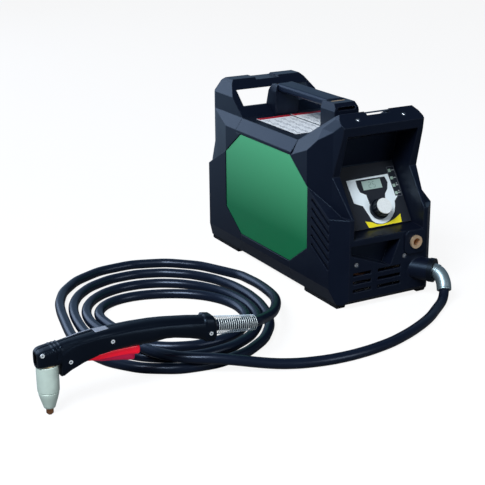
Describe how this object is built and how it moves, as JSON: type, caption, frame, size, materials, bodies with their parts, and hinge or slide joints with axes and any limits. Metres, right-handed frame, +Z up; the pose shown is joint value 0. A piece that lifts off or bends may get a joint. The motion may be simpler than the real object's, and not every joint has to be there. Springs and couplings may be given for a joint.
{
  "type": "plasma cutter unit",
  "caption": "Portable air plasma cutter: boxy moulded power unit with carrying handle, hooded sloped control panel, coiled torch lead and pistol-angle hand torch.",
  "frame": {"origin": "on the floor under the middle of the power unit's four feet", "axes": "+Z up, -Y out of the control panel, +X towards the torch lead's outlet side"},
  "size_m": [0.737, 0.6296, 0.313],
  "materials": {
    "case_plastic": "fine grain",
    "green_paint": "semi-gloss",
    "tray_steel": "satin",
    "foot_rubber": "matt",
    "screw_steel": "bright",
    "grip_rubber": "matt",
    "brass": "turned",
    "label_white": "satin film",
    "panel_grey": "film",
    "display": "glossy",
    "lamp_white": "glossy",
    "board_green": "solder mask",
    "zinc": "die-cast",
    "knob_black": "satin",
    "silver_cap": "satin",
    "silver_boot": "satin silver",
    "rear_steel": "powder coat",
    "switch_red": "glossy",
    "valve_blue": "satin",
    "hose_blue": "satin",
    "sink_aluminium": "extruded",
    "capacitor_blue": "film sleeve",
    "core_iron": "ferrite",
    "copper": "copper",
    "torch_plastic": "fine grain",
    "trigger_red": "semi-gloss",
    "lead_rubber": "matt"
  },
  "bodies": {
    "case": {"base_tray": "tray_steel", "front_bezel": "case_plastic", "rear_bezel": "case_plastic", "top_cover": "case_plastic", "sills": "case_plastic", "side_panel_left": "green_paint", "side_panel_right": "green_paint", "feet": "foot_rubber", "case_screws": "screw_steel", "handle_bar": "grip_rubber", "handle_block_front": "case_plastic", "handle_block_rear": "case_plastic", "strap_bars": "brass", "deck_plates": "label_white", "control_panel": "panel_grey", "display_module": "display", "indicator_lamps": "lamp_white", "control_board": "board_green", "encoder_body": "zinc", "work_socket_flange": "case_plastic", "work_socket": "brass", "lead_collar": "knob_black", "lead_boot": "silver_boot", "torch_adaptor": "brass", "rear_panel": "rear_steel", "fan_frame": "knob_black", "fan_guard": "screw_steel", "switch_body": "knob_black", "mains_gland": "knob_black", "air_inlet": "brass", "air_regulator": "zinc", "solenoid_valve": "valve_blue", "air_hose": "hose_blue", "heat_sinks": "sink_aluminium", "power_board": "board_green", "capacitors": "capacitor_blue", "transformer_core": "core_iron", "transformer_winding": "copper", "output_inductor": "copper", "torch_shell_left": "torch_plastic", "torch_shell_right": "torch_plastic", "torch_head": "brass", "shield_cup": "silver_boot", "electrode": "copper", "cutting_tip": "copper", "trigger_pin": "screw_steel", "trigger_switch": "knob_black", "relief_spring": "screw_steel", "torch_screws": "screw_steel", "lead_run": "lead_rubber", "lead_coil": "lead_rubber", "lead_tail": "lead_rubber"},
    "current_control": {"encoder_shaft": "zinc", "current_knob": "knob_black", "knob_cap": "silver_cap"},
    "power_rocker": {"switch_rocker": "switch_red"},
    "regulator_stem": {"regulator_knob": "knob_black"},
    "fan": {"fan_rotor": "knob_black"},
    "trigger": {"torch_trigger": "trigger_red"},
    "plunger": {"switch_plunger": "lamp_white"}
  },
  "joints": [
    {"name": "current_knob_turn", "type": "hinge", "parent": "case", "child": "current_control", "pos_m": [0.009, -0.1845, 0.14532], "axis": [0, -0.8329, 0.5534], "range_deg": [-135, 135]},
    {"name": "power_rocker_tilt", "type": "hinge", "parent": "case", "child": "power_rocker", "pos_m": [0.04, 0.1979, 0.19], "axis": [1, 0, 0], "range_deg": [-20, 0]},
    {"name": "regulator_turn", "type": "hinge", "parent": "case", "child": "regulator_stem", "pos_m": [-0.038, 0.2, 0.188], "axis": [0, 1, 0], "continuous": true},
    {"name": "fan_spin", "type": "hinge", "parent": "case", "child": "fan", "pos_m": [0, 0.18, 0.088], "axis": [0, 1, 0], "continuous": true},
    {"name": "trigger_squeeze", "type": "hinge", "parent": "case", "child": "trigger", "pos_m": [-0.559, -0.335, 0.077], "axis": [0, -1, 0], "range_deg": [0, 6], "stiffness_Nm_per_rad": 1.5, "springref_deg": -8.59},
    {"name": "switch_plunger_travel", "type": "slide", "parent": "case", "child": "plunger", "axis": [0, 0, 1], "range_m": [0, 0.0014]}
  ],
  "couplings": [
    {"joint": "switch_plunger_travel", "follows": "trigger_squeeze", "m_per_rad": 0.013}
  ]
}
